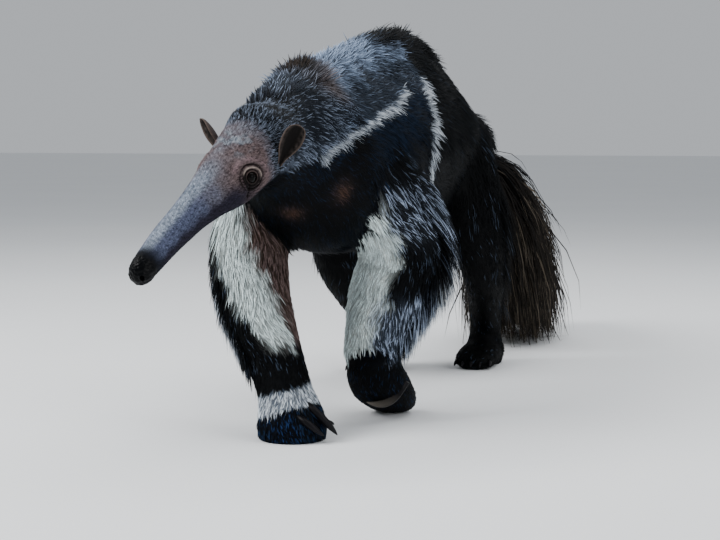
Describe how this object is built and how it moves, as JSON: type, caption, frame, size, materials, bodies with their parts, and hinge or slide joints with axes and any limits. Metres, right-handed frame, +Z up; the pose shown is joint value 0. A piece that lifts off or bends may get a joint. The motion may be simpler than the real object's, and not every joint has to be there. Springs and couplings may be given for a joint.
{
  "type": "giant anteater, life-size still model",
  "caption": "Life-size giant anteater caught in mid-stride, with long snout, mane, banded forelegs and a bushy hanging tail, standing on its own feet.",
  "frame": {"origin": "middle of the bounding box, on the floor that the feet stand on", "axes": "+Z up, -Y the way the animal walks, +X its left side"},
  "size_m": [0.4446, 2.0932, 0.6929],
  "materials": {
    "coat": "coarse fur",
    "face_fur": "short speckled fur",
    "ear_skin": "thin fine-haired skin",
    "eye": "wet gloss",
    "claw_horn": "worn horn"
  },
  "bodies": {
    "root": {"ear_left": "ear_skin", "ear_right": "ear_skin", "eye_left": "eye", "eye_right": "eye", "foreclaw_left_1": "claw_horn", "foreclaw_left_2": "claw_horn", "foreclaw_left_3": "claw_horn", "foreclaw_right_1": "claw_horn", "foreclaw_right_2": "claw_horn", "foreclaw_right_3": "claw_horn", "forefoot_left": "coat", "forefoot_right": "coat", "foreleg_left_lower": "coat", "foreleg_left_upper": "coat", "foreleg_right_lower": "coat", "foreleg_right_upper": "coat", "head": "face_fur", "hindclaw_left_1": "claw_horn", "hindclaw_left_2": "claw_horn", "hindclaw_left_3": "claw_horn", "hindclaw_left_4": "claw_horn", "hindclaw_left_5": "claw_horn", "hindclaw_right_1": "claw_horn", "hindclaw_right_2": "claw_horn", "hindclaw_right_3": "claw_horn", "hindclaw_right_4": "claw_horn", "hindclaw_right_5": "claw_horn", "hindfoot_left": "coat", "hindfoot_right": "coat", "hindleg_left_lower": "coat", "hindleg_left_upper": "coat", "hindleg_right_lower": "coat", "hindleg_right_upper": "coat", "neck": "coat", "tail": "coat", "torso": "coat"}
  },
  "joints": []
}
